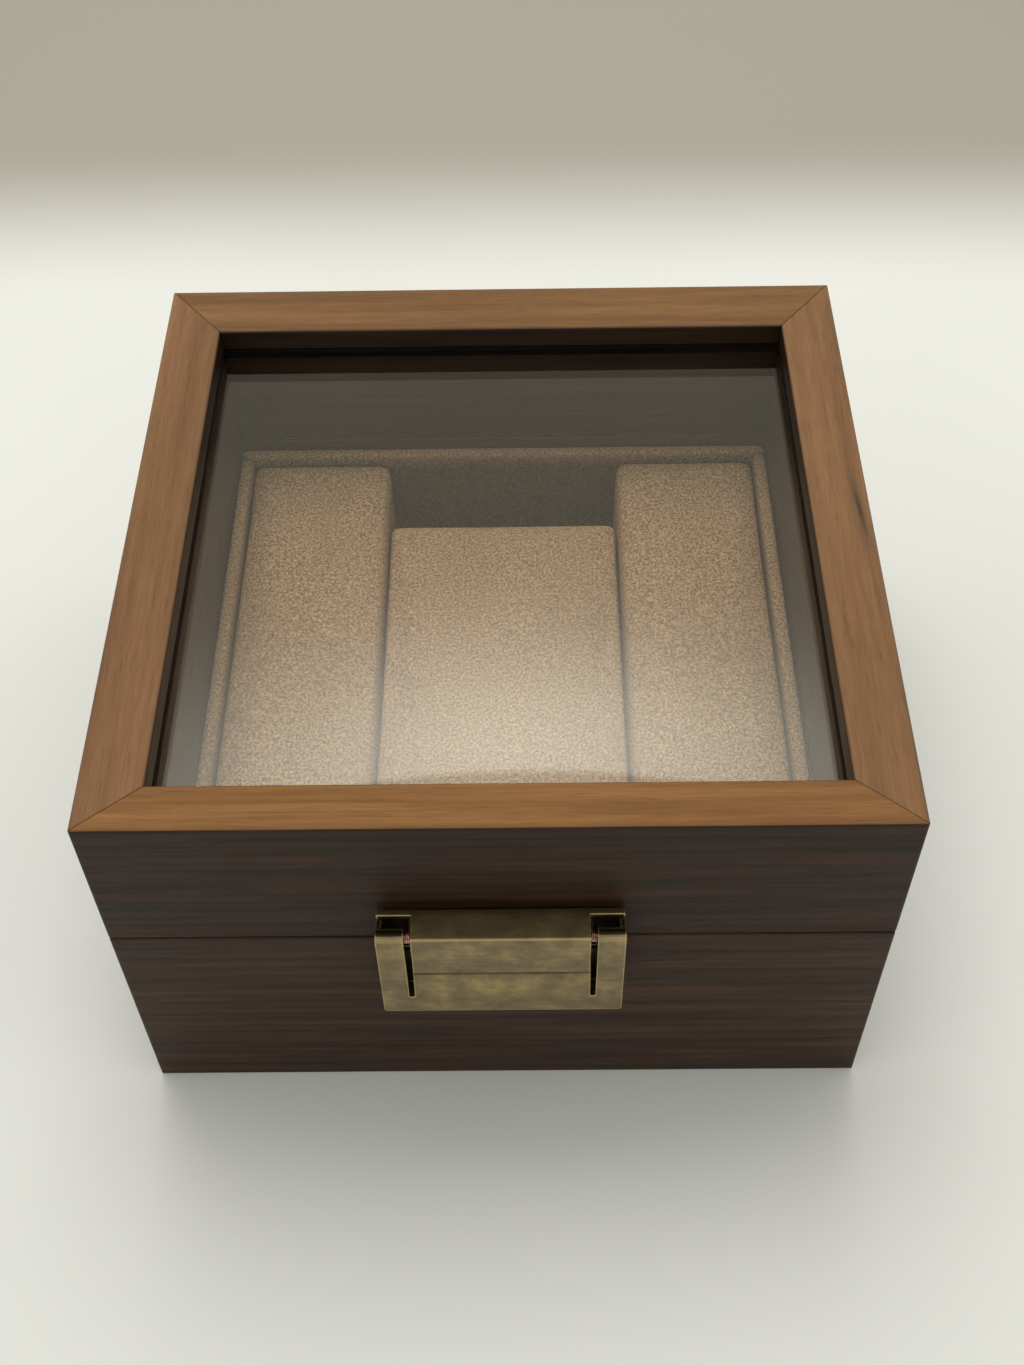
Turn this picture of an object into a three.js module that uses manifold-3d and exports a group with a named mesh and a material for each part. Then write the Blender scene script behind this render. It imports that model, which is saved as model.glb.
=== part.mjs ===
// Single watch box: mitred walnut base and glazed lid, suede-covered pads round a lift-out watch
// pillow, two recessed butt hinges at the back and a sprung antique-brass latch at the front.
// Millimetres, +X right, +Y back, +Z up. The origin is the centre of the underside.
import * as THREE from "three";
import { RoundedBoxGeometry } from "three/addons/geometries/RoundedBoxGeometry.js";
import { mergeVertices } from "three/addons/utils/BufferGeometryUtils.js";
import Module from "manifold-3d";

const wasm = await Module();
wasm.setup();

// ---- driving dimensions -------------------------------------------------------------------
const WIDTH = 130;
const DEPTH = 129;
const HEIGHT = 81.7;
const SEAM = 49.9; // height of the parting line between base and lid
const SEAM_GAP = 0.3;
const BOARD = 10; // thickness of every wooden side
const EDGE_ROUND = 0.6;
const MITRE_GAP = 0.1;
const FIT = 0.15; // assembly clearance between fixed pieces
const RAIL_SLOPE = 2.2; // how far the lid's top surface falls towards the glass
const JOIN = 0.5; // how far two joined solids run into each other

const FELT = 1;
const PANEL = 3;
const REBATE = 5; // width of the step that the bottom panel sits in

const GLASS = { bottom: 72, top: 74, bite: 2.2 };
const GASKET = { bottom: 74.15, top: 75.1 };
const GROOVE = { bottom: 71.8, top: 75.3, depth: 2.5 };

const LINER = { thickness: 2.6, top: 47.7, edge: 0.8 };
const FLOOR_LINING = 1.5;
const PAD = { top: 46, inner: 23.5, outer: 52, length: 102.6, round: 3.5 };
const PILLOW = { width: 46, length: 72, top: 43.5, round: 5, edge: 1.5 };

const HINGE = {
  inset: 2.5, // distance of the axis in front of the back face
  centres: [-35, 35],
  width: 22,
  middle: 8, // length of the middle knuckle, which belongs to the lid
  barrel: 1.9,
  pin: 0.9,
  bore: 0.97,
  leaf: 0.8,
  leafFront: 55.2,
  screwAt: 6.5,
  screwY: 57.5,
};
const STOP_ANGLE = 96; // angle of the groove whose faces meet when the lid is fully open

const LATCH = {
  sheet: 0.8,
  front: -70.7,
  halfWidth: 20,
  bottom: 36,
  top: 59.15,
  armInner: 15.5,
  tongue: 14.6,
  tongueRoot: 40.7,
  tongueTop: 50.2,
  tongueLean: 1.2,
  cornerRound: 0.7,
  pad: 14.4,
  padBottom: 48.7,
  earFront: -66.05,
  earBack: -64.95,
  earNotch: 56, // the side walls drop to this height under the lever's ears
  wallTop: 58.3,
};
const LATCH_PIN = { y: -69.25, z: 57.7, radius: 0.55, bore: 0.62, knuckle: 1.45 };
const CATCH = { half: 7, bottom: 51.95, tip: -67 };
const KEEPER = { half: 13, ledgeHalf: 8, bottom: 50.6, top: 55.8, nose: -68.2 };
const SPRING = { coil: 0.84, wire: 0.14, turns: 2, pitch: 0.29, centre: 14.95 };

const FRONT = -DEPTH / 2;
const BACK = DEPTH / 2;
const BASE_TOP = SEAM - SEAM_GAP / 2;
const LID_BOTTOM = SEAM + SEAM_GAP / 2;
const FLOOR = FELT + PANEL + 2 * FIT; // top of the bottom panel
const LINED_FLOOR = FLOOR + FIT + FLOOR_LINING;
const HINGE_Y = BACK - HINGE.inset;

// ---- materials ----------------------------------------------------------------------------
const finish = (color, roughness, metalness = 0) =>
  new THREE.MeshStandardMaterial({ color, roughness, metalness });

const WALNUT = finish(0x6e4a2e, 0.5);
const PANEL_WOOD = finish(0x8a6c4a, 0.7);
const SUEDE = finish(0x93745a, 0.95);
const FELT_CLOTH = finish(0x1c1a19, 0.95);
const BRASS = finish(0x7a6a45, 0.4, 1);
const COPPER = finish(0xb07a66, 0.35, 1);
const RUBBER = finish(0x0c0b0b, 0.6);
const GLAZING = new THREE.MeshStandardMaterial({
  color: 0xf4f7f6, roughness: 0.03, transparent: true, opacity: 0.2,
});

// ---- geometry helpers ---------------------------------------------------------------------
function toSolid(geometry) {
  const bare = geometry.index ? geometry.toNonIndexed() : geometry.clone();
  bare.deleteAttribute("normal");
  bare.deleteAttribute("uv");
  const merged = mergeVertices(bare, 1e-5);
  return new wasm.Manifold(new wasm.Mesh({
    numProp: 3,
    vertProperties: new Float32Array(merged.attributes.position.array),
    triVerts: new Uint32Array(merged.index.array),
  }));
}

function toGeometry(solid) {
  const mesh = solid.getMesh();
  const geometry = new THREE.BufferGeometry();
  geometry.setAttribute("position", new THREE.BufferAttribute(mesh.vertProperties, 3));
  geometry.setIndex(new THREE.BufferAttribute(mesh.triVerts, 1));
  return geometry;
}

const join = (first, ...rest) =>
  toGeometry(rest.reduce((solid, g) => solid.add(toSolid(g)), toSolid(first)));
const cut = (first, ...rest) =>
  toGeometry(rest.reduce((solid, g) => solid.subtract(toSolid(g)), toSolid(first)));
const common = (first, second) => toGeometry(toSolid(first).intersect(toSolid(second)));

const block = ([x0, x1], [y0, y1], [z0, z1]) =>
  new THREE.BoxGeometry(x1 - x0, y1 - y0, z1 - z0)
    .translate((x0 + x1) / 2, (y0 + y1) / 2, (z0 + z1) / 2);

const rodAlongX = (radius, [x0, x1], y, z, segments = 24) =>
  new THREE.CylinderGeometry(radius, radius, x1 - x0, segments)
    .rotateZ(Math.PI / 2).translate((x0 + x1) / 2, y, z);

// A closed outline whose corners [a, b, radius] are rounded off where a radius is given.
function outline(corners) {
  const shape = new THREE.Shape();
  corners.forEach(([a, b, radius = 0], i) => {
    const here = new THREE.Vector2(a, b);
    const towards = (n) => {
      const [c, d] = corners[(i + n + corners.length) % corners.length];
      return here.clone().add(new THREE.Vector2(c, d).sub(here).setLength(radius));
    };
    const [enter, leave] = radius ? [towards(-1), towards(1)] : [here, here];
    if (i) shape.lineTo(enter.x, enter.y);
    else shape.moveTo(enter.x, enter.y);
    if (radius) shape.quadraticCurveTo(a, b, leave.x, leave.y);
  });
  return shape;
}

const rectangle = ([a0, a1], [b0, b1], radius = 0) =>
  outline([[a0, b0, radius], [a1, b0, radius], [a1, b1, radius], [a0, b1, radius]]);

const extrude = (shape, depth, curveSegments = 4) =>
  new THREE.ExtrudeGeometry(shape, { depth, bevelEnabled: false, curveSegments });

// Extrudes an outline drawn in (y, z) from x0 to x1.
const extrudeAlongX = (shape, [x0, x1], curveSegments) =>
  extrude(shape, x1 - x0, curveSegments)
    .applyMatrix4(new THREE.Matrix4().set(0, 0, 1, x0, 1, 0, 0, 0, 0, 1, 0, 0, 0, 0, 0, 1));

// Extrudes an outline drawn in (x, z) from y0 to y1.
const extrudeAlongY = (shape, [y0, y1], curveSegments) =>
  extrude(shape, y1 - y0, curveSegments)
    .applyMatrix4(new THREE.Matrix4().set(1, 0, 0, 0, 0, 0, -1, y1, 0, 1, 0, 0, 0, 0, 0, 1));

const extrudeAlongZ = (shape, [z0, z1], curveSegments) =>
  extrude(shape, z1 - z0, curveSegments).translate(0, 0, z0);

// A turned solid about +Z from a profile of [radius, z], from the bottom of the axis to its top.
const turned = (profile, segments = 16) =>
  new THREE.LatheGeometry(profile.map(([r, z]) => new THREE.Vector2(r, z)), segments)
    .rotateX(Math.PI / 2);

const root = new THREE.Group();
const base = new THREE.Group();
const lid = new THREE.Group();
root.add(base, lid);

function addPiece(parent, name, geometry, material) {
  const mesh = new THREE.Mesh(geometry, material);
  mesh.name = name;
  parent.add(mesh);
  return mesh;
}

// ---- wooden boards ------------------------------------------------------------------------
// A board seen from outside: its section is drawn as (distance in from the face, height), it is
// as long as its side of the box, and its ends are mitred.
function mitredBoard(section, length, faceDistance) {
  const board = extrude(section, length).applyMatrix4(
    new THREE.Matrix4().set(0, 0, 1, -length / 2, 1, 0, 0, -faceDistance, 0, 1, 0, 0, 0, 0, 0, 1));
  const points = board.attributes.position;
  for (let i = 0; i < points.count; i += 1) {
    const inward = points.getY(i) + faceDistance + MITRE_GAP / 2;
    points.setX(i, points.getX(i) - Math.sign(points.getX(i)) * inward);
  }
  return board;
}

const SIDES = [
  { side: "front", turn: 0, length: WIDTH, face: DEPTH / 2 },
  { side: "right", turn: Math.PI / 2, length: DEPTH, face: WIDTH / 2 },
  { side: "back", turn: Math.PI, length: WIDTH, face: DEPTH / 2 },
  { side: "left", turn: -Math.PI / 2, length: DEPTH, face: WIDTH / 2 },
];

const baseSection = outline([
  [0, 0, EDGE_ROUND], [REBATE, 0], [REBATE, FLOOR + FIT], [BOARD, FLOOR + FIT],
  [BOARD, BASE_TOP, EDGE_ROUND], [0, BASE_TOP, EDGE_ROUND],
]);

const lidSection = outline([
  [0, LID_BOTTOM, EDGE_ROUND], [BOARD, LID_BOTTOM, EDGE_ROUND],
  [BOARD, GROOVE.bottom], [BOARD - GROOVE.depth, GROOVE.bottom],
  [BOARD - GROOVE.depth, GROOVE.top], [BOARD, GROOVE.top],
  [BOARD, HEIGHT - RAIL_SLOPE, EDGE_ROUND], [0, HEIGHT, EDGE_ROUND],
]);

// The groove along the back of the seam. Its two faces meet when the lid is fully open.
function stopGroove() {
  const reach = HINGE.inset + 1;
  const rise = reach * Math.tan(THREE.MathUtils.degToRad(STOP_ANGLE / 2));
  const wedge = outline([
    [HINGE_Y, SEAM], [HINGE_Y + reach, SEAM - rise], [HINGE_Y + reach, SEAM + rise],
  ]);
  return extrudeAlongX(wedge, [-WIDTH / 2 - 1, WIDTH / 2 + 1]);
}

function hingeMortise(centre) {
  const span = [centre - HINGE.width / 2 - FIT, centre + HINGE.width / 2 + FIT];
  const leafRoom = HINGE.leaf + SEAM_GAP / 2 + FIT;
  return [
    block(span, [HINGE.leafFront - FIT, HINGE_Y], [SEAM - leafRoom, SEAM + leafRoom]),
    rodAlongX(HINGE.barrel + 2 * FIT, span, HINGE_Y, SEAM, 32),
  ];
}

const screwHole = (radius, depth, x, y, z, direction) =>
  new THREE.CylinderGeometry(radius, radius, depth, 16)
    .rotateX(Math.PI / 2).translate(x, y, z + direction * depth / 2);

function hingeScrewPlaces() {
  return HINGE.centres.flatMap((centre) => [-1, 1].map((s) => centre + s * HINGE.screwAt));
}

function boards(parent, prefix, suffix, section, backCuts, frontCuts) {
  const plan = extrudeAlongZ(
    rectangle([-WIDTH / 2, WIDTH / 2], [-DEPTH / 2, DEPTH / 2], EDGE_ROUND), [-1, HEIGHT + 1]);
  for (const { side, turn, length, face } of SIDES) {
    let board = common(mitredBoard(section, length, face).rotateZ(turn), plan);
    if (side !== "front") board = cut(board, stopGroove());
    if (side === "back") board = cut(board, ...backCuts);
    if (side === "front") board = cut(board, ...frontCuts);
    addPiece(parent, `${prefix}_${side}_${suffix}`, board, WALNUT);
  }
}

// ---- screws -------------------------------------------------------------------------------
const HINGE_SCREW = { head: 1.55, neck: 0.7, headHeight: 0.75, length: 6 };
const KEEPER_SCREW = { head: 1.3, neck: 0.65, headHeight: 0.6, length: 5, z: 53.3, x: 10.5 };
const HOUSING_SCREW = { head: 2, neck: 0.85, headHeight: 1.1, z: 43, x: 16.9 };
const SCREW_SLOT = { half: 0.17, depth: 0.3 };

// Head upwards at z = 0, shank down, with one straight slot across the head.
function slottedScrew({ head, neck, headHeight, length }, countersunk) {
  const tip = [[0, -length], [neck, neck - length]];
  const cone = [[neck, -headHeight], [head, -0.15], [head, 0], [0, 0]];
  const pan = [[neck, -headHeight], [head, -headHeight], [head, -headHeight / 2],
    [head * 0.7, -0.05], [0, 0]];
  const body = turned([...tip, ...(countersunk ? cone : pan)]);
  const slot = block([-head - 1, head + 1], [-SCREW_SLOT.half, SCREW_SLOT.half],
    [-SCREW_SLOT.depth, 1]);
  return cut(body, slot);
}

function countersinkHole({ head, neck, headHeight }, clearance = 0.12) {
  const wide = head + clearance;
  const narrow = neck + clearance;
  return turned([[0, -headHeight - 3], [narrow, -headHeight - 3], [narrow, -headHeight - 0.1],
    [wide, -0.2], [wide, 1], [0, 1]]);
}

// ---- base ---------------------------------------------------------------------------------
function baseWoodwork() {
  const pilots = hingeScrewPlaces().map((x) =>
    screwHole(HINGE_SCREW.neck + FIT, HINGE_SCREW.length + 1, x, HINGE.screwY, BASE_TOP, -1));
  const backCuts = [...HINGE.centres.flatMap(hingeMortise), ...pilots];
  const frontCuts = [-1, 1].map((s) => {
    const sink = countersinkHole(HOUSING_SCREW, 0.2);
    const through = screwHole(HOUSING_SCREW.neck + 0.2, 2 * BOARD, 0, 0, 0, -1);
    return join(sink, through).rotateX(-Math.PI / 2)
      .translate(s * HOUSING_SCREW.x, FRONT + BOARD, HOUSING_SCREW.z);
  });
  boards(base, "base", "wall", baseSection, backCuts, frontCuts);

  const reachX = WIDTH / 2 - REBATE - 2 * FIT;
  const reachY = DEPTH / 2 - REBATE - 2 * FIT;
  const panel = extrudeAlongZ(rectangle([-reachX, reachX], [-reachY, reachY], 1),
    [FELT + FIT, FELT + FIT + PANEL]);
  const felt = extrudeAlongZ(rectangle([-reachX, reachX], [-reachY, reachY], 1), [0, FELT]);
  addPiece(base, "bottom_panel", panel, PANEL_WOOD);
  addPiece(base, "underside_felt", felt, FELT_CLOTH);
}

function lining() {
  const outerX = WIDTH / 2 - BOARD - FIT;
  const outerY = DEPTH / 2 - BOARD - FIT;
  const innerY = outerY - LINER.thickness;
  const heights = [LINED_FLOOR + FIT, LINER.top];
  const sheet = (from) => rectangle([from, from + LINER.thickness], heights, LINER.edge);
  for (const [side, s] of [["front", -1], ["back", 1]]) {
    const liner = extrudeAlongX(sheet(innerY), [-outerX, outerX]);
    if (s < 0) liner.rotateZ(Math.PI);
    addPiece(base, `liner_${side}`, liner, SUEDE);
  }
  for (const [side, s] of [["left", -1], ["right", 1]]) {
    const liner = extrudeAlongY(sheet(outerX - LINER.thickness), [FIT - innerY, innerY - FIT]);
    if (s < 0) liner.rotateZ(Math.PI);
    addPiece(base, `liner_${side}`, liner, SUEDE);
  }
  const floor = rectangle([-outerX, outerX], [-outerY, outerY], 1);
  addPiece(base, "floor_lining",
    extrudeAlongZ(floor, [FLOOR + FIT, FLOOR + FIT + FLOOR_LINING]), SUEDE);
}

function sidePads() {
  const width = PAD.outer - PAD.inner;
  const bottom = LINED_FLOOR + FIT;
  for (const [side, s] of [["left", -1], ["right", 1]]) {
    const pad = new RoundedBoxGeometry(width, PAD.length, PAD.top - bottom, 3, PAD.round)
      .translate(s * (PAD.inner + width / 2), 0, (bottom + PAD.top) / 2);
    addPiece(base, `side_pad_${side}`, cut(pad), SUEDE);
  }
}

function watchPillow() {
  const bottom = LINED_FLOOR + FIT;
  const straight = PILLOW.width - 2 * PILLOW.edge;
  const half = PILLOW.length / 2 - PILLOW.edge;
  const profile = rectangle([-half, half], [bottom + PILLOW.edge, PILLOW.top - PILLOW.edge],
    PILLOW.round);
  const pillow = new THREE.ExtrudeGeometry(profile, {
    depth: straight, curveSegments: 5, bevelEnabled: true,
    bevelSize: PILLOW.edge, bevelThickness: PILLOW.edge, bevelSegments: 3,
  }).applyMatrix4(
    new THREE.Matrix4().set(0, 0, 1, -straight / 2, 1, 0, 0, 0, 0, 1, 0, 0, 0, 0, 0, 1));
  addPiece(root, "watch_pillow", pillow, SUEDE);
}

// ---- lid ----------------------------------------------------------------------------------
function lidWoodwork() {
  const pilots = hingeScrewPlaces().map((x) =>
    screwHole(HINGE_SCREW.neck + FIT, HINGE_SCREW.length + 1, x, HINGE.screwY, LID_BOTTOM, 1));
  const backCuts = [...HINGE.centres.flatMap(hingeMortise), ...pilots];
  const depth = KEEPER_SCREW.length;
  const frontCuts = [-1, 1].map((s) =>
    screwHole(KEEPER_SCREW.neck + FIT, depth, 0, 0, 0, -1).rotateX(Math.PI / 2)
      .translate(s * KEEPER_SCREW.x, FRONT, KEEPER_SCREW.z));
  boards(lid, "lid", "rail", lidSection, backCuts, frontCuts);
}

function glazing() {
  const edge = (half) => half - BOARD + GLASS.bite;
  const [x, y] = [edge(WIDTH / 2), edge(DEPTH / 2)];
  addPiece(lid, "glass_pane",
    extrudeAlongZ(rectangle([-x, x], [-y, y], 0.5), [GLASS.bottom, GLASS.top]), GLAZING);
  const ring = rectangle([-x, x], [-y, y]);
  const [inX, inY] = [WIDTH / 2 - BOARD, DEPTH / 2 - BOARD];
  ring.holes.push(rectangle([-inX, inX], [-inY, inY]));
  addPiece(lid, "glass_gasket", extrudeAlongZ(ring, [GASKET.bottom, GASKET.top]), RUBBER);
}

// ---- hinges -------------------------------------------------------------------------------
// One leaf lies flat in its mortise. direction is -1 for the base's leaf and +1 for the lid's.
function hingeLeaf(centre, knuckles, direction) {
  const near = SEAM + direction * (SEAM_GAP / 2 + 0.05);
  const far = near + direction * HINGE.leaf;
  const heights = [Math.min(near, far), Math.max(near, far)];
  const halfWidth = HINGE.width / 2;
  const plateBack = HINGE_Y - HINGE.barrel - 2 * FIT;
  let leaf = block([centre - halfWidth, centre + halfWidth], [HINGE.leafFront, plateBack], heights);
  for (const span of knuckles) {
    leaf = join(leaf, block(span, [plateBack - JOIN, HINGE_Y], heights),
      rodAlongX(HINGE.barrel, span, HINGE_Y, SEAM, 32));
  }
  const bore = rodAlongX(HINGE.bore, [centre - halfWidth - 1, centre + halfWidth + 1],
    HINGE_Y, SEAM, 32);
  const sinks = [-1, 1].map((s) => {
    const sink = countersinkHole(HINGE_SCREW);
    if (direction > 0) sink.rotateX(Math.PI);
    return sink.translate(centre + s * HINGE.screwAt, HINGE.screwY, near);
  });
  return cut(leaf, bore, ...sinks);
}

function hinges() {
  HINGE.centres.forEach((centre, i) => {
    const side = i ? "right" : "left";
    const half = HINGE.width / 2;
    const inner = HINGE.middle / 2 + FIT;
    const outerKnuckles = [[centre - half, centre - inner], [centre + inner, centre + half]];
    const middleKnuckle = [[centre - HINGE.middle / 2, centre + HINGE.middle / 2]];
    addPiece(base, `hinge_base_leaf_${side}`, hingeLeaf(centre, outerKnuckles, -1), BRASS);
    addPiece(lid, `hinge_lid_leaf_${side}`, hingeLeaf(centre, middleKnuckle, 1), BRASS);
    addPiece(base, `hinge_pin_${side}`,
      rodAlongX(HINGE.pin, [centre - half + 0.2, centre + half - 0.2], HINGE_Y, SEAM, 32), BRASS);
    [-1, 1].forEach((s, j) => {
      const name = `${side}_${j ? "outer" : "inner"}`;
      const x = centre + (i ? s : -s) * HINGE.screwAt;
      const down = addPiece(base, `hinge_base_screw_${name}`,
        slottedScrew(HINGE_SCREW, true), BRASS);
      down.position.set(x, HINGE.screwY, BASE_TOP - 0.05);
      const up = addPiece(lid, `hinge_lid_screw_${name}`,
        slottedScrew(HINGE_SCREW, true), BRASS);
      up.rotation.x = Math.PI;
      up.position.set(x, HINGE.screwY, LID_BOTTOM + 0.05);
    });
  });
}

// ---- latch --------------------------------------------------------------------------------
const LATCH_BACK = FRONT - 0.1; // the latch stands this close to the wood
const FLANGE_TOP = SEAM - 1.5;

function latchHousing() {
  const { sheet, front, halfWidth, bottom, armInner, cornerRound } = LATCH;
  const inside = halfWidth - sheet;
  const high = LATCH.top + 2;
  const bowl = (half, low, round) =>
    outline([[-half, low, round], [half, low, round], [half, high], [-half, high]]);
  const shell = extrudeAlongY(bowl(halfWidth, bottom, cornerRound), [front, LATCH_BACK]);
  const hollow = extrudeAlongY(bowl(inside, bottom + sheet, cornerRound - sheet / 2),
    [front + sheet, LATCH_BACK + 1]);
  const all = [-halfWidth - 1, halfWidth + 1];
  const window = block([-armInner, armInner], [front - 1, front + sheet + 0.1],
    [LATCH.tongueRoot, high + 1]);
  const aboveArms = block(all, [front - 1, front + sheet], [LATCH_PIN.z, high + 1]);
  const aboveWalls = block(all, [front - 1, LATCH_BACK + 1], [LATCH.wallTop, high + 1]);
  const underEars = block(all, [LATCH.earFront - 0.3, LATCH_BACK + 1], [LATCH.earNotch, high + 1]);
  const walls = cut(shell, hollow, window, aboveArms, aboveWalls, underEars);

  const lean = LATCH.tongueLean;
  const { tongueRoot, tongueTop } = LATCH;
  const tongue = extrudeAlongX(outline([
    [front, tongueRoot - JOIN], [front + sheet, tongueRoot - JOIN],
    [front + sheet, tongueRoot], [front + sheet + lean, tongueTop],
    [front + lean, tongueTop], [front, tongueRoot],
  ]), [-LATCH.tongue, LATCH.tongue]);
  const rims = [-1, 1].flatMap((s) => {
    const arm = [s * armInner, s * halfWidth].sort((a, b) => a - b);
    const flange = [s * (armInner - 1.5), s * (inside + 0.1)].sort((a, b) => a - b);
    return [
      rodAlongX(LATCH_PIN.knuckle, arm, LATCH_PIN.y, LATCH_PIN.z, 32),
      block(flange, [LATCH_BACK - sheet, LATCH_BACK], [bottom + sheet / 2, FLANGE_TOP]),
    ];
  });
  const bore = rodAlongX(LATCH_PIN.bore, all, LATCH_PIN.y, LATCH_PIN.z);
  const threads = [-1, 1].map((s) =>
    screwHole(HOUSING_SCREW.neck + 0.1, 4, 0, 0, 2, -1).rotateX(Math.PI / 2)
      .translate(s * HOUSING_SCREW.x, LATCH_BACK, HOUSING_SCREW.z));
  return cut(join(walls, tongue, ...rims), bore, ...threads);
}

function latchLever() {
  const { sheet, front, pad, padBottom, top, earFront, earBack } = LATCH;
  const face = extrudeAlongX(outline([
    [front, padBottom, 0.25], [front + sheet, padBottom, 0.25], [front + sheet, top - sheet],
    [earBack, top - sheet], [earBack, top, 0.25], [front, top, 0.45],
  ]), [-pad, pad]);
  const ears = block([-LATCH.halfWidth, LATCH.halfWidth], [earFront, earBack], [top - sheet, top]);
  const webs = [-1, 1].map((s) => {
    const span = [s * (pad - sheet), s * pad].sort((a, b) => a - b);
    const low = LATCH_PIN.z - LATCH_PIN.knuckle;
    return block(span, [front + sheet / 2, LATCH_PIN.y + LATCH_PIN.knuckle],
      [low, top - sheet / 2]);
  });
  const lip = block([-CATCH.half, CATCH.half], [front + sheet / 2, CATCH.tip],
    [CATCH.bottom, CATCH.bottom + sheet]);
  const bore = rodAlongX(LATCH_PIN.bore, [-pad - 1, pad + 1], LATCH_PIN.y, LATCH_PIN.z);
  return cut(join(face, ears, ...webs, lip), bore);
}

function latchKeeper() {
  const { half, ledgeHalf, bottom, top, nose } = KEEPER;
  const back = LATCH_BACK;
  const flange = extrudeAlongY(rectangle([-half, half], [bottom, top], 0.8),
    [back - LATCH.sheet, back]);
  const ledge = block([-ledgeHalf, ledgeHalf], [nose, back], [bottom, bottom + LATCH.sheet]);
  const holes = [-1, 1].map((s) =>
    screwHole(KEEPER_SCREW.neck + 0.1, 4, 0, 0, 2, -1).rotateX(Math.PI / 2)
      .translate(s * KEEPER_SCREW.x, back, KEEPER_SCREW.z));
  return cut(join(flange, ledge), ...holes);
}

// A torsion spring on the pin, in the gap beside an arm. One leg runs back under the lever's ear
// and lifts it, and the other runs down and back onto the housing's flange.
function torsionSpring(side) {
  const { coil, wire, turns, pitch, centre } = SPRING;
  const [start, end] = [Math.PI / 2, Math.PI * (7 / 6 + 2 * turns)];
  const steps = 14 * turns;
  const at = (angle) => {
    const along = (angle - (start + end) / 2) / (2 * Math.PI);
    return new THREE.Vector3(side * (centre + along * pitch),
      LATCH_PIN.y + coil * Math.cos(angle), LATCH_PIN.z + coil * Math.sin(angle));
  };
  const points = [];
  for (let i = 0; i <= steps; i += 1) points.push(at(start + ((end - start) * i) / steps));
  const [first, last] = [points[0], points[points.length - 1]];
  const underEar = new THREE.Vector3(first.x, LATCH.earBack - 0.6,
    LATCH.top - LATCH.sheet - wire - 0.15);
  const onFlange = new THREE.Vector3(last.x, LATCH_BACK - 0.4, FLANGE_TOP + wire + 0.15);
  points.unshift(underEar, underEar.clone().lerp(first, 0.5));
  points.push(last.clone().lerp(onFlange, 0.33), last.clone().lerp(onFlange, 0.67), onFlange);
  const section = new THREE.Shape().absarc(0, 0, wire, 0, 2 * Math.PI);
  return new THREE.ExtrudeGeometry(section, {
    steps: 72, curveSegments: 6, bevelEnabled: false,
    extrudePath: new THREE.CatmullRomCurve3(points, false, "centripetal"),
  });
}

function latch() {
  addPiece(base, "latch_housing", latchHousing(), BRASS);
  addPiece(lid, "latch_keeper", latchKeeper(), BRASS);
  addPiece(root, "latch_lever", latchLever(), BRASS);
  const reach = LATCH.halfWidth + 0.1;
  addPiece(base, "latch_pin",
    rodAlongX(LATCH_PIN.radius, [-reach, reach], LATCH_PIN.y, LATCH_PIN.z), COPPER);
  for (const [side, s] of [["left", -1], ["right", 1]]) {
    addPiece(base, `latch_spring_${side}`, torsionSpring(s), COPPER);
    const keeperScrew = addPiece(lid, `latch_keeper_screw_${side}`,
      slottedScrew(KEEPER_SCREW, false), BRASS);
    keeperScrew.rotation.x = Math.PI / 2;
    const { headHeight } = KEEPER_SCREW;
    keeperScrew.position.set(s * KEEPER_SCREW.x, LATCH_BACK - LATCH.sheet - 0.05 - headHeight,
      KEEPER_SCREW.z);
    const length = BOARD + LATCH.sheet + 0.1;
    const housingScrew = addPiece(base, `latch_housing_screw_${side}`,
      slottedScrew({ ...HOUSING_SCREW, length }, true), BRASS);
    housingScrew.rotation.x = -Math.PI / 2;
    housingScrew.position.set(s * HOUSING_SCREW.x, FRONT + BOARD - 0.1, HOUSING_SCREW.z);
  }
}

baseWoodwork();
lining();
sidePads();
watchPillow();
lidWoodwork();
glazing();
hinges();
latch();

export default root;
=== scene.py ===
"""Looks for the watch box: walnut, suede, antique brass and glass round the fixed CAD frame."""
import math

import bmesh
import bpy
import numpy as np
from mathutils import Matrix, Vector, noise


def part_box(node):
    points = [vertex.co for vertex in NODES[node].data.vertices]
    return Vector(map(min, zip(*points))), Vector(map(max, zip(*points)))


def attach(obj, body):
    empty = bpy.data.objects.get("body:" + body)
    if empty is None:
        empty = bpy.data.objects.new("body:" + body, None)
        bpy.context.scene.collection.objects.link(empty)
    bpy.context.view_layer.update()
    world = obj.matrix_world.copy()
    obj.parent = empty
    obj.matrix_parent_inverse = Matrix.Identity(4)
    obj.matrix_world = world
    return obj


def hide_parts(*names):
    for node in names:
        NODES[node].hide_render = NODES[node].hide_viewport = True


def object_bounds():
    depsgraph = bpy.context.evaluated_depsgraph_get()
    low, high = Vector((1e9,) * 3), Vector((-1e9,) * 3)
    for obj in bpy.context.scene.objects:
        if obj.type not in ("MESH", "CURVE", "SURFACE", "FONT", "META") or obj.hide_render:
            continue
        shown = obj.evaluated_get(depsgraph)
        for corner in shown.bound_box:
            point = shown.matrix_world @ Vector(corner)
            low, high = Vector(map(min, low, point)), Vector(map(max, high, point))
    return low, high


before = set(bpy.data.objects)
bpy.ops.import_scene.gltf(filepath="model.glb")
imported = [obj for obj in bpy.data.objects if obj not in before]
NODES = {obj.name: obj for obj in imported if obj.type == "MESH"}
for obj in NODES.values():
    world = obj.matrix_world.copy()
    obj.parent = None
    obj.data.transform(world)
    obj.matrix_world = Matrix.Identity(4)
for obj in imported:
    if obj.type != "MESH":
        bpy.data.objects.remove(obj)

CAD_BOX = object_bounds()
MM = 0.001
SCENE = bpy.context.scene

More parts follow.
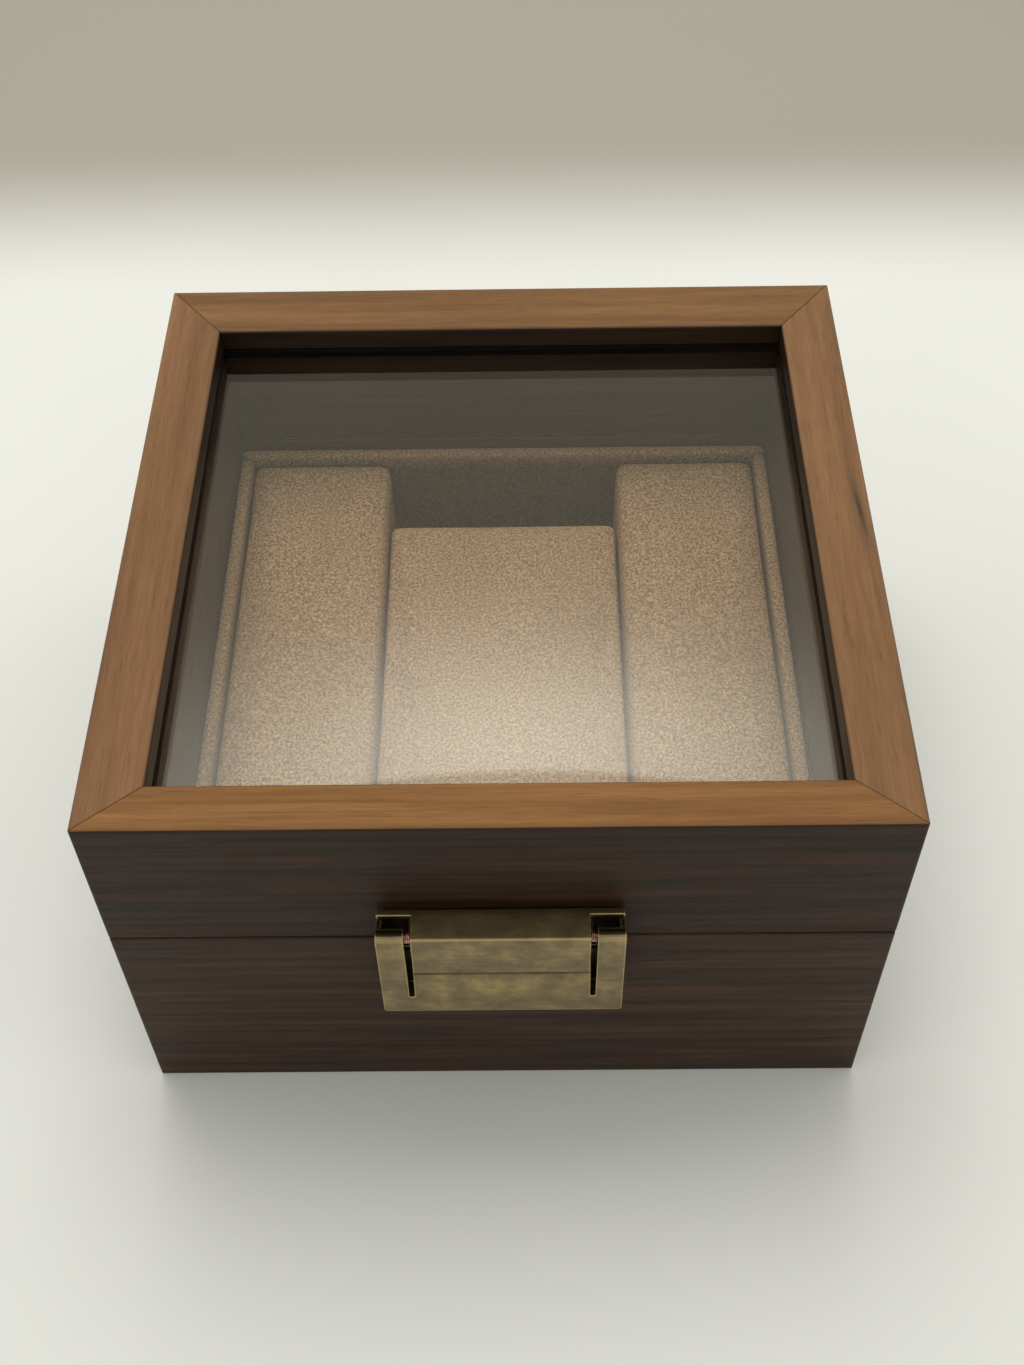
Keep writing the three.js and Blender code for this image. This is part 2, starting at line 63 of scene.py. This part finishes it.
# ---- camera -------------------------------------------------------------------------------
CAMERA_PLACE = (4.7 * MM, -205.3 * MM, 290.4 * MM)
CAMERA_DOWN = 51.02  # degrees below the horizon
CAMERA_TURN = 0.85  # degrees towards -X
CAMERA_ROLL = -1.22
CAMERA_LENS = 44.04


def add_camera():
    data = bpy.data.cameras.new("camera")
    data.sensor_fit = "VERTICAL"
    data.sensor_height = 36
    data.lens = CAMERA_LENS
    data.clip_start = 0.005
    camera = bpy.data.objects.new("camera", data)
    camera.matrix_world = (
        Matrix.Translation(CAMERA_PLACE)
        @ Matrix.Rotation(math.radians(CAMERA_TURN), 4, "Z")
        @ Matrix.Rotation(math.radians(90 - CAMERA_DOWN), 4, "X")
        @ Matrix.Rotation(math.radians(CAMERA_ROLL), 4, "Z")
    )
    SCENE.collection.objects.link(camera)
    SCENE.camera = camera


add_camera()


# ---- node helpers -------------------------------------------------------------------------
class Graph:
    """A short way to write a material's or world's nodes."""

    def __init__(self, owner):
        owner.use_nodes = True
        self.tree = owner.node_tree
        self.tree.nodes.clear()

    def node(self, kind, inputs=None, **settings):
        n = self.tree.nodes.new("ShaderNode" + kind)
        for key, value in settings.items():
            setattr(n, key, value)
        for key, value in (inputs or {}).items():
            if isinstance(value, bpy.types.NodeSocket):
                self.tree.links.new(value, n.inputs[key])
            else:
                n.inputs[key].default_value = value
        return n

    def place(self, scale=(1, 1, 1)):
        """Points of the object in metres, stretched by scale."""
        point = self.node("TexCoord").outputs["Object"]
        return self.node("Mapping", {"Vector": point, "Scale": scale}).outputs[0]

    def noise(self, vector, scale=1.0, detail=4.0, rough=0.55):
        values = {"Vector": vector, "Scale": scale, "Detail": detail, "Roughness": rough}
        return self.node("TexNoise", values).outputs["Fac"]

    def math(self, operation, a, b=0.0, clamp=False):
        return self.node("Math", {0: a, 1: b}, operation=operation, use_clamp=clamp).outputs[0]

    def remap(self, value, low, high, to_low=0.0, to_high=1.0):
        values = {"Value": value, "From Min": low, "From Max": high,
                  "To Min": to_low, "To Max": to_high}
        return self.node("MapRange", values, clamp=True).outputs[0]

    def ramp(self, value, stops):
        n = self.node("ValToRGB", {"Fac": value})
        elements = n.color_ramp.elements
        while len(elements) < len(stops):
            elements.new(0.5)
        for element, (at, colour) in zip(elements, stops):
            element.position = at
            element.color = (*colour, 1)
        return n.outputs[0]

    def blend(self, factor, a, b, mode="MIX"):
        n = self.node("Mix", data_type="RGBA", blend_type=mode)
        for socket, value in ((n.inputs[0], factor), (n.inputs[6], a), (n.inputs[7], b)):
            if isinstance(value, bpy.types.NodeSocket):
                self.tree.links.new(value, socket)
            else:
                socket.default_value = (*value, 1) if isinstance(value, tuple) else value
        return n.outputs[2]

    def bump(self, height, strength, distance, normal=None):
        values = {"Height": height, "Strength": strength, "Distance": distance}
        if normal:
            values["Normal"] = normal
        return self.node("Bump", values).outputs[0]

    def surface(self, shader):
        out = self.node("OutputMaterial")
        self.tree.links.new(shader, out.inputs["Surface"])


def material(name):
    m = bpy.data.materials.new(name)
    return m, Graph(m)


# ---- materials ----------------------------------------------------------------------------
WALNUT = ((0.165, 0.076, 0.026), (0.255, 0.120, 0.040), (0.345, 0.172, 0.064))  # dark, mid, light
# Painted shade: colours that darken every face but the tops, for the base and for the lid
BASE_PAINTED_SHADE = (0.17, 0.149, 0.152)
LID_PAINTED_SHADE = (0.118, 0.098, 0.094)
TOP_FROM = CAD_BOX[1].z - 3.5 * MM  # upward faces above this height keep the unshaded colour; the rest get painted shade
LID_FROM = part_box("lid_front_rail")[0].z  # the lid's painted shade is a little darker than the base's
MARK_X = 63.3 * MM  # a dark streak in the right rail, at Y = 0
MARK_Y = 2 * MM
MARK_SLANT = -0.06


def walnut(name, axis, painted_shade=1.0, shift=0.0, tint=(1, 1, 1), sheen=0.29, mark=False):
    """Satin walnut veneer with its grain along axis 0 (X) or 1 (Y).

    The top faces are golden. Every other face has the same grain under painted shade, deeper
    on the lid. mark adds the streak in the right rail.
    """
    m, g = material(name)

    def grain(along, across):
        scale = [across, across, across]
        scale[axis] = along
        point = g.node("TexCoord").outputs["Object"]
        values = {"Vector": point, "Scale": scale, "Location": (shift, shift * 0.7, shift * 1.3)}
        return g.node("Mapping", values).outputs[0]

    band = g.noise(grain(5, 190), detail=2)
    figure = g.noise(grain(22, 620), detail=4, rough=0.6)
    fibre = g.noise(grain(130, 3300), detail=3, rough=0.65)
    tone = g.math("ADD", g.math("MULTIPLY", band, 0.42), g.math("MULTIPLY", figure, 0.33))
    tone = g.math("ADD", tone, g.math("MULTIPLY", fibre, 0.25))
    colour = g.ramp(tone, [(at, tuple(c * t * painted_shade for c, t in zip(rgb, tint)))
                           for at, rgb in zip((0.36, 0.5, 0.64), WALNUT)])
    pores = g.remap(g.noise(grain(210, 4200), detail=1), 0.6, 0.72)
    colour = g.blend(g.math("MULTIPLY", pores, 0.3), colour, (0.07, 0.032, 0.013))

    place = g.node("SeparateXYZ", {0: g.node("TexCoord").outputs["Object"]})
    if mark:
        centre = g.math("MULTIPLY_ADD", place.outputs["Y"], MARK_SLANT)
        centre.node.inputs[2].default_value = MARK_X
        aside = g.math("ABSOLUTE", g.math("SUBTRACT", place.outputs["X"], centre))
        aside = g.math("ADD", aside, g.math("MULTIPLY", fibre, 0.5 * MM))
        along = g.math("ABSOLUTE", g.math("SUBTRACT", place.outputs["Y"], MARK_Y))
        halo = g.math("MULTIPLY", g.remap(aside, 2.2 * MM, 0.4 * MM),
                      g.remap(along, 24 * MM, 4 * MM))
        line = g.math("MULTIPLY", g.remap(aside, 0.75 * MM, 0.3 * MM),
                      g.remap(along, 9 * MM, 1 * MM))
        colour = g.blend(g.math("MULTIPLY", halo, 0.4), colour, (0.10, 0.055, 0.028))
        colour = g.blend(g.math("MULTIPLY", line, 0.9), colour, (0.025, 0.017, 0.013))

    upward = g.node("SeparateXYZ", {0: g.node("TexCoord").outputs["Normal"]}).outputs["Z"]
    height = place.outputs["Z"]
    # Painted shade: every face but the tops is darkened, the lid's more than the base's
    top = g.math("MULTIPLY", g.remap(upward, 0.5, 0.95),
                 g.remap(height, TOP_FROM, TOP_FROM + 0.5 * MM))
    side_shade = g.blend(g.remap(height, LID_FROM - 0.2 * MM, LID_FROM + 0.2 * MM),
                    BASE_PAINTED_SHADE, LID_PAINTED_SHADE)
    streaks = g.remap(figure, 0.36, 0.64, 0.55, 1.4)
    shaded_sides = g.blend(1.0, g.blend(1.0, colour, side_shade, "MULTIPLY"), streaks, "MULTIPLY")
    colour = g.blend(top, shaded_sides, colour)
    rough = g.remap(fibre, 0.3, 0.7, 0.8 - sheen, 0.94 - sheen)
    rough = g.math("MAXIMUM", rough, g.math("MULTIPLY", top, 0.5))
    relief = g.math("SUBTRACT", g.math("MULTIPLY", fibre, 0.6), pores)
    eased = g.node("Bevel", {"Radius": 0.35 * MM}, samples=4).outputs[0]
    shader = g.node("BsdfPrincipled", {
        "Base Color": colour, "Roughness": rough, "Specular IOR Level": sheen,
        "Normal": g.bump(relief, 0.3, 0.00007, eased),
    })
    g.surface(shader.outputs[0])
    return m


def plain_board():
    m, g = material("bottom_board")
    tone = g.noise(g.place((30, 500, 500)), detail=4)
    colour = g.ramp(tone, [(0.3, (0.22, 0.14, 0.08)), (0.7, (0.4, 0.28, 0.17))])
    normal = g.bump(tone, 0.3, 0.0001)
    shader = g.node("BsdfPrincipled", {"Base Color": colour, "Roughness": 0.7, "Normal": normal})
    g.surface(shader.outputs[0])
    return m


def suede(name, rim=None):
    """Short-napped microfibre: a fine many-toned speckle with soft brushed patches.

    Given the height of a rim, the cloth gets painted shade: a little darker at the rim and much
    darker below it, down inside the box.
    """
    m, g = material(name)
    speckle = g.noise(g.place(), scale=2100, detail=2, rough=0.65)
    glint = g.remap(g.noise(g.place(), scale=2800, detail=1), 0.58, 0.74)
    patch = g.noise(g.place((1, 0.6, 1)), scale=60, detail=3)
    stops = [(0.35, (0.17, 0.096, 0.052)), (0.5, (0.345, 0.205, 0.116)),
             (0.65, (0.56, 0.365, 0.222))]
    colour = g.ramp(speckle, stops)
    colour = g.blend(g.math("MULTIPLY", glint, 0.45), colour, (0.78, 0.6, 0.42))
    colour = g.blend(g.remap(patch, 0.35, 0.7, 0.0, 0.2), colour, (0.20, 0.12, 0.065))
    if rim:
        height = g.node("SeparateXYZ", {0: g.node("TexCoord").outputs["Object"]}).outputs["Z"]
        # painted shade: the cloth darkens from the rim down into the box
        below_rim_shade = g.remap(height, rim - 1.2 * MM, rim - 4 * MM)
        painted_shade = g.blend(below_rim_shade, (0.88, 0.88, 0.86), (0.42, 0.42, 0.42))
        colour = g.blend(1.0, colour, painted_shade, "MULTIPLY")
    relief = g.math("ADD", speckle, g.math("MULTIPLY", patch, 0.3))
    shader = g.node("BsdfPrincipled", {
        "Base Color": colour, "Roughness": 0.95, "Specular IOR Level": 0.12,
        "Sheen Weight": 0.06, "Sheen Roughness": 0.5, "Sheen Tint": (0.8, 0.6, 0.42, 1),
        "Normal": g.bump(relief, 0.3, 0.0002),
    })
    g.surface(shader.outputs[0])
    return m


def felt():
    m, g = material("felt")
    fuzz = g.noise(g.place(), scale=1800, detail=5, rough=0.75)
    colour = g.ramp(fuzz, [(0.3, (0.008, 0.007, 0.007)), (0.75, (0.045, 0.04, 0.038))])
    normal = g.bump(fuzz, 0.7, 0.0003)
    shader = g.node("BsdfPrincipled", {
        "Base Color": colour, "Roughness": 0.97, "Sheen Weight": 0.3, "Normal": normal})
    g.surface(shader.outputs[0])
    return m


EDGE_RADIUS = 0.36 * MM


def brass(name, shift=0.0, under=None):
    """Antiqued brass: olive-gold clouds, hollows darkened partly by oxide and partly by painted
    shade, and edges rubbed bright, partly a painted highlight.

    Given (height, front), a painted shadow also lies just below that height on what lies behind
    front.
    """
    m, g = material(name)
    point = g.node("TexCoord").outputs["Object"]
    moved = g.node("Mapping", {"Vector": point, "Location": (shift, shift, shift)}).outputs[0]
    cloud = g.noise(moved, scale=170, detail=5, rough=0.62)
    brushed = g.noise(g.place((260, 1500, 1500)), detail=3)
    spot = g.noise(moved, scale=1700, detail=2)
    tone = g.math("ADD", g.math("MULTIPLY", cloud, 0.8), g.math("MULTIPLY", brushed, 0.2))
    colour = g.ramp(tone, [(0.35, (0.175, 0.136, 0.073)), (0.5, (0.245, 0.19, 0.1)),
                           (0.66, (0.39, 0.295, 0.133))])
    colour = g.blend(g.remap(spot, 0.62, 0.76, 0, 0.35), colour, (0.08, 0.06, 0.03))

    # Darker in hollows: partly the oxide of antique brass, partly painted shade
    crevice = g.node("AmbientOcclusion", {"Distance": 2.4 * MM}, samples=6).outputs["AO"]
    colour = g.blend(g.remap(crevice, 0.97, 0.5, 0, 0.85), colour, (0.035, 0.026, 0.012))

    if under:
        height, front = under
        place = g.node("SeparateXYZ", {0: point})
        # Painted shadow: a dark band just below the lever pad's edge, on the faces set back behind
        # it
        band = g.remap(place.outputs["Z"], height - 2.1 * MM, height - 1.3 * MM)
        behind = g.remap(place.outputs["Y"], front + 0.45 * MM, front + 0.7 * MM)
        colour = g.blend(g.math("MULTIPLY", band, g.math("MULTIPLY", behind, 0.92)), colour,
                         (0.012, 0.009, 0.005))

    rounded = g.node("Bevel", {"Radius": EDGE_RADIUS}, samples=6).outputs[0]
    true_normal = g.node("NewGeometry").outputs["True Normal"]
    same = g.node("VectorMath", {0: rounded, 1: true_normal}, operation="DOT_PRODUCT")
    near_edge = g.remap(same.outputs["Value"], 0.985, 0.9)
    facing = g.node("SeparateXYZ", {0: g.node("TexCoord").outputs["Normal"]})
    squarest = g.math("MAXIMUM", g.math("ABSOLUTE", facing.outputs["Y"]),
                      g.math("MAXIMUM", g.math("ABSOLUTE", facing.outputs["X"]),
                             g.math("ABSOLUTE", facing.outputs["Z"])))
    slanted = g.remap(squarest, 0.96, 0.86, 0.0, 0.35)
    # Edges and slanted faces rubbed bright: partly real wear, partly a painted highlight; less on
    # faces turned down
    wear_and_highlight = g.math("MAXIMUM", near_edge, slanted)
    wear_and_highlight = g.math("MULTIPLY", wear_and_highlight, g.remap(facing.outputs["Z"], -0.6, -0.1, 0.1, 1.0))
    wear_and_highlight = g.math("MULTIPLY", wear_and_highlight, g.remap(cloud, 0.3, 0.55, 0.65, 1.0))
    colour = g.blend(wear_and_highlight, colour, (0.88, 0.72, 0.35))
    roughness = g.math("SUBTRACT", g.remap(cloud, 0.3, 0.7, 0.48, 0.38),
                       g.math("MULTIPLY", wear_and_highlight, 0.1))
    relief = g.math("ADD", cloud, g.math("MULTIPLY", spot, 0.3))
    shader = g.node("BsdfPrincipled", {
        "Base Color": colour, "Metallic": 0.92, "Roughness": roughness,
        "Normal": g.bump(relief, 0.2, 0.0001, rounded)})
    g.surface(shader.outputs[0])
    return m


def copper():
    m, g = material("copper_wire")
    tone = g.noise(g.place(), scale=900, detail=3)
    colour = g.ramp(tone, [(0.3, (0.42, 0.22, 0.17)), (0.7, (0.72, 0.42, 0.34))])
    rough = g.remap(tone, 0.3, 0.7, 0.35, 0.22)
    shader = g.node("BsdfPrincipled", {"Base Color": colour, "Metallic": 1, "Roughness": rough})
    g.surface(shader.outputs[0])
    return m


# A near-black strip along the glass's edge
def black_strip():
    m, g = material("black_gasket")
    grain = g.noise(g.place(), scale=1500, detail=2)
    colour = g.ramp(grain, [(0.3, (0.002, 0.002, 0.002)), (0.7, (0.006, 0.005, 0.005))])
    normal = g.bump(grain, 0.2, 0.0001)
    shader = g.node("BsdfPrincipled", {
        "Base Color": colour, "Roughness": 0.75, "Specular IOR Level": 0.2, "Normal": normal})
    g.surface(shader.outputs[0])
    return m


def clear_glass():
    """Clear float glass. Light reaches the inside of the box straight through it."""
    m, g = material("glass")
    pane = g.node("BsdfPrincipled", {
        "Base Color": (0.97, 0.985, 0.98, 1), "Transmission Weight": 1.0, "IOR": 1.5,
        "Roughness": 0.0})
    rays = g.node("LightPath")
    through = g.math("MAXIMUM", rays.outputs["Is Shadow Ray"], rays.outputs["Is Diffuse Ray"])
    clear = g.node("BsdfTransparent", {"Color": (0.93, 0.95, 0.94, 1)})
    mix = g.node("MixShader", {0: through, 1: pane.outputs[0], 2: clear.outputs[0]})
    g.surface(mix.outputs[0])
    return m


def floor_paper():
    """Pale matt board, with painted shade darkening it some way behind the box."""
    m, g = material("floor_paper")
    tone = g.noise(g.place(), scale=6, detail=2)
    colour = g.ramp(tone, [(0.3, (0.80, 0.825, 0.825)), (0.7, (0.84, 0.865, 0.865))])
    # Painted shade: the floor darkens some way behind the box
    back = g.node("SeparateXYZ", {0: g.node("TexCoord").outputs["Object"]}).outputs["Y"]
    back_shade = g.node("MapRange", {"Value": back, "From Min": 0.165, "From Max": 0.243,
                               "To Min": 0.0, "To Max": 1.0}, interpolation_type="SMOOTHSTEP")
    colour = g.blend(back_shade.outputs[0], colour, (0.40, 0.385, 0.335))
    shader = g.node("BsdfPrincipled", {
        "Base Color": colour, "Roughness": 0.9, "Specular IOR Level": 0.1})
    g.surface(shader.outputs[0])
    return m


# The side and back rails have a lower painted_shade than the front: painted shade on copies of one
# walnut
ALONG_X = walnut("walnut_along_x", 0, 0.93)
ALONG_Y = walnut("walnut_along_y", 1, 0.8, 3.1, (1, 1.03, 1.25), sheen=0.44, mark=True)
BACK_X = walnut("walnut_back_x", 0, 0.79, 8.7, (1, 1.03, 1.05), sheen=0.42)
BOARD = plain_board()
SUEDE = suede("suede")
# The liners' and floor's cloth, with painted shade inside the box
SHADED_LINER_SUEDE = suede("suede_liner_shaded", rim=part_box("liner_back")[1].z)
FELT = felt()
# under puts the painted shadow from the lever's pad onto the housing
BRASS = brass("antique_brass", under=(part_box("latch_lever")[0].z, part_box("latch_housing")[0].y))
LEVER_BRASS = brass("antique_brass_lever", shift=0.7)
COPPER = copper()
STRIP = black_strip()
GLASS = clear_glass()


# ---- CAD nodes that stay ------------------------------------------------------------------
def paint(names, mat):
    for name in names:
        mesh = NODES[name].data
        mesh.materials.clear()
        mesh.materials.append(mat)


def named(*parts):
    return [n for n in sorted(NODES) if all(p in n for p in parts)]


paint(["base_front_wall", "lid_front_rail"], ALONG_X)
paint(["base_back_wall", "lid_back_rail"], BACK_X)
paint(["base_left_wall", "base_right_wall", "lid_left_rail", "lid_right_rail"], ALONG_Y)
paint(["bottom_panel"], BOARD)
paint(["glass_pane"], GLASS)
paint(["glass_gasket"], STRIP)
paint(named("screw"), BRASS)
paint(named("hinge_pin"), BRASS)
paint(["latch_pin"] + named("latch_spring"), COPPER)


# ---- metalwork with eased, worn edges -----------------------------------------------------
def link(name, mesh, *materials):
    piece = bpy.data.objects.new(name, mesh)
    SCENE.collection.objects.link(piece)
    for m in materials:
        mesh.materials.append(m)
    return piece


def apply_modifiers(piece):
    bpy.context.view_layer.update()
    graph = bpy.context.evaluated_depsgraph_get()
    mesh = bpy.data.meshes.new_from_object(piece.evaluated_get(graph))
    piece.modifiers.clear()
    piece.data = mesh
    return piece


def eased_metal(node, body, width=0.13 * MM):
    """The node's shape with every sharp edge eased."""
    bm = bmesh.new()
    bm.from_mesh(NODES[node].data)
    bmesh.ops.remove_doubles(bm, verts=bm.verts, dist=1e-6)
    bmesh.ops.dissolve_limit(
        bm, angle_limit=math.radians(1), verts=bm.verts, edges=bm.edges)
    sharp = [e for e in bm.edges if e.is_manifold and e.calc_face_angle(0) > math.radians(30)]
    bmesh.ops.bevel(bm, geom=sharp, offset=width, segments=2, profile=0.5,
                    affect="EDGES", clamp_overlap=True)
    mesh = bpy.data.meshes.new(node + "_finished")
    bm.to_mesh(mesh)
    bm.free()
    piece = link(node + "_finished", mesh, LEVER_BRASS if body == "latch_lever" else BRASS)
    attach(piece, body)
    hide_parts(node)
    return piece


eased_metal("latch_housing", "base")
eased_metal("latch_lever", "latch_lever")
eased_metal("latch_keeper", "lid")
for side in ("left", "right"):
    eased_metal(f"hinge_base_leaf_{side}", "base", 0.08 * MM)
    eased_metal(f"hinge_lid_leaf_{side}", "lid", 0.08 * MM)


# ---- soft pieces --------------------------------------------------------------------------
def grid_block(name, low, high, round_low, round_high, step):
    """A closed block of even quads between two corners.

    round_low and round_high say how far its edges are rounded in from each side.
    """
    low, high = Vector(low), Vector(high)
    size = high - low
    cells = [max(2, round(s / step)) for s in size]
    bm = bmesh.new()
    seen = {}

    def vertex(*key):
        if key not in seen:
            core, out = Vector(), Vector()
            for a in range(3):
                at = low[a] + size[a] * key[a] / cells[a]
                core[a] = min(max(at, low[a] + round_low[a]), high[a] - round_high[a])
                reach = round_low[a] if at < core[a] else round_high[a]
                out[a] = (at - core[a]) / reach
            if out.length > 1:
                out.normalize()
            for a in range(3):
                core[a] += out[a] * (round_low[a] if out[a] < 0 else round_high[a])
            seen[key] = bm.verts.new(core)
        return seen[key]

    for a in range(3):
        b, c = (a + 1) % 3, (a + 2) % 3
        for end in (0, cells[a]):
            for u in range(cells[b]):
                for v in range(cells[c]):
                    corners = []
                    for du, dv in ((0, 0), (1, 0), (1, 1), (0, 1)):
                        key = [0, 0, 0]
                        key[a], key[b], key[c] = end, u + du, v + dv
                        corners.append(vertex(*key))
                    bm.faces.new(corners if end else corners[::-1])
    mesh = bpy.data.meshes.new(name)
    bm.to_mesh(mesh)
    bm.free()
    return mesh


PRESSURE = 4.0
SIM_FRAMES = 20


def puff(piece, cap):
    """Inflates the piece as sewn cloth, flat underneath.

    No point moves further than cap on any axis.
    """
    before = np.array([v.co for v in piece.data.vertices])
    cloth = piece.modifiers.new("puff", "CLOTH")
    cloth.settings.quality = 6
    cloth.settings.mass = 0.15
    cloth.settings.tension_stiffness = 12
    cloth.settings.compression_stiffness = 12
    cloth.settings.bending_stiffness = 0.6
    cloth.settings.use_pressure = True
    cloth.settings.uniform_pressure_force = PRESSURE
    cloth.settings.effector_weights.gravity = 0
    cloth.point_cache.frame_start = 1
    cloth.point_cache.frame_end = SIM_FRAMES
    for f in range(1, SIM_FRAMES + 1):
        SCENE.frame_set(f)
    graph = bpy.context.evaluated_depsgraph_get()
    done = piece.evaluated_get(graph).to_mesh()
    after = np.array([v.co for v in done.vertices])
    piece.evaluated_get(graph).to_mesh_clear()
    piece.modifiers.remove(cloth)
    SCENE.frame_set(1)
    limit = np.array(cap)
    puffed = before + np.tanh((after - before) / limit) * limit
    puffed[:, 2] = np.maximum(puffed[:, 2], before[:, 2].min())
    piece.data.vertices.foreach_set("co", puffed.astype(np.float32).ravel())
    piece.data.update()


def wrinkle(piece, size, depth):
    """Small unevenness of cloth over foam, along each point's normal."""
    for v in piece.data.vertices:
        v.co += v.normal * (noise.noise(v.co / size) * depth)


def soften(piece):
    subdivide = piece.modifiers.new("smooth", "SUBSURF")
    subdivide.levels = 1
    subdivide.render_levels = 1
    apply_modifiers(piece)
    piece.data.polygons.foreach_set("use_smooth", [True] * len(piece.data.polygons))
    return piece


def soft_piece(name, node, body, round_low, round_high, step, cap=None, lift=0.0,
               depth=0.12, cloth=SUEDE):
    """The cloth-covered form of a CAD solid. Lengths are in millimetres."""
    low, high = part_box(node)
    high = high + Vector((0, 0, lift * MM))
    mesh = grid_block(name, low, high, [r * MM for r in round_low], [r * MM for r in round_high],
                      step * MM)
    piece = link(name, mesh, cloth)
    if cap:
        puff(piece, [c * MM for c in cap])
    wrinkle(piece, 14 * MM, depth * MM)
    soften(piece)
    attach(piece, body)
    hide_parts(node)
    return piece


# How far the side pads' edges are rounded, in millimetres.
PAD_OUTER, PAD_INNER, PAD_END, PAD_EDGE = 0.9, 2.0, 2.2, 1.5
for side in ("left", "right"):
    across = (PAD_OUTER, PAD_INNER) if side == "left" else (PAD_INNER, PAD_OUTER)
    soft_piece(f"padded_block_{side}", f"side_pad_{side}", "base",
               (across[0], PAD_END, 1), (across[1], PAD_END, PAD_EDGE), 2, (0.1, 0.15, 0.6), 0.45)
soft_piece("padded_pillow", "watch_pillow", "watch_pillow",
           (0.8, 3.5, 1.5), (0.8, 1.6, 1.1), 1.8, (0.06, 0.3, 0.7), 0.15)
for side in ("front", "back", "left", "right"):
    soft_piece(f"covered_liner_{side}", f"liner_{side}", "base",
               (0.6, 0.6, 0.6), (0.6, 0.6, 0.6), 1.3, depth=0.05, cloth=SHADED_LINER_SUEDE)
soft_piece("covered_floor", "floor_lining", "base", (0.6, 0.6, 0.4), (0.6, 0.6, 0.4), 3,
           depth=0.08, cloth=SHADED_LINER_SUEDE)


def felt_sheet():
    low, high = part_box("underside_felt")
    soft_edge = (0.35 * MM,) * 3
    mesh = grid_block("felt_sheet", low, high, soft_edge, soft_edge, 2.5 * MM)
    piece = soften(link("felt_sheet", mesh, FELT))
    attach(piece, "base")
    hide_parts("underside_felt")


felt_sheet()

# ---- floor and light ----------------------------------------------------------------------
FLOOR_HALF = 1.6
GLOW_X, GLOW_Z = -0.012, 0.806  # where the bright patch lies, as parts of a unit direction
GLOW_WIDTH, GLOW_HEIGHT, GLOW_LEVEL = 0.13, 0.031, 3.7
GLOW_DIMS_FROM, GLOW_DIMMED = 0.8085, 0.45
DULL_RISE = math.radians(41)  # height above the horizon of the duller part of the room
DULL_LEVEL = 0.82


def add_floor():
    bm = bmesh.new()
    corners = [(-1, -1), (1, -1), (1, 1), (-1, 1)]
    bm.faces.new([bm.verts.new((x * FLOOR_HALF, y * FLOOR_HALF, 0)) for x, y in corners])
    mesh = bpy.data.meshes.new("floor")
    bm.to_mesh(mesh)
    bm.free()
    link("floor", mesh, floor_paper())


def add_area(name, place, aim, size, power, tint=(1, 1, 1)):
    data = bpy.data.lights.new(name, "AREA")
    data.shape = "DISK"
    data.size = size
    data.energy = power
    data.color = tint
    light = bpy.data.objects.new(name, data)
    light.location = place
    light.rotation_euler = (Vector(aim) - Vector(place)).to_track_quat("-Z", "Y").to_euler()
    light.visible_glossy = False
    light.visible_transmission = False
    SCENE.collection.objects.link(light)


def add_world():
    """A pale room, duller behind the box, with one soft bright patch high up there."""
    world = bpy.data.worlds.new("room")
    SCENE.world = world
    g = Graph(world)
    direction = g.node("TexCoord").outputs["Generated"]
    axis = g.node("SeparateXYZ", {0: direction})

    def falloff(channel, centre, spread):
        away = g.math("DIVIDE", g.math("SUBTRACT", axis.outputs[channel], centre), spread)
        return g.math("EXPONENT", g.math("MULTIPLY", g.math("MULTIPLY", away, away), -0.5))

    glow = g.math("MULTIPLY", falloff("X", GLOW_X, GLOW_WIDTH),
                  falloff("Z", GLOW_Z, GLOW_HEIGHT))
    glow = g.math("MULTIPLY", glow, g.remap(axis.outputs["Y"], 0.1, 0.3))
    glow = g.math("MULTIPLY", glow, g.remap(axis.outputs["Z"], GLOW_DIMS_FROM,
                                            GLOW_DIMS_FROM + 0.0025, 1.0, GLOW_DIMMED))
    behind = (0, math.cos(DULL_RISE), math.sin(DULL_RISE))
    nearness = g.node("VectorMath", {0: direction, 1: behind}, operation="DOT_PRODUCT")
    dull = g.remap(nearness.outputs["Value"], 0.7, 0.93)
    level = g.remap(axis.outputs["Z"], -0.1, 0.9, 0.52, 0.88)
    front = g.remap(axis.outputs["Y"], -0.7, 0.2, 0.72, 1.0)
    strength = g.math("MULTIPLY", g.math("MULTIPLY", level, front),
                      g.remap(dull, 0, 1, 1, DULL_LEVEL))
    tint = g.blend(dull, (1.0, 0.975, 0.9), (1.0, 0.92, 0.72))
    room = g.node("Background", {"Color": tint, "Strength": strength})
    warm = (1.0, 0.975, 0.86, 1)
    bright = g.math("MULTIPLY", glow, GLOW_LEVEL)
    patch = g.node("Background", {"Color": warm, "Strength": bright})
    both = g.node("AddShader", {0: room.outputs[0], 1: patch.outputs[0]})
    out = g.node("OutputWorld")
    g.tree.links.new(both.outputs[0], out.inputs["Surface"])


add_floor()
add_world()
add_area("key", (-0.05, 0.25, 0.8), (0, 0, 0.03), 0.5, 2.6, (1, 0.98, 0.94))
SCENE.view_settings.view_transform = "Standard"
SCENE.cycles.use_denoising = True
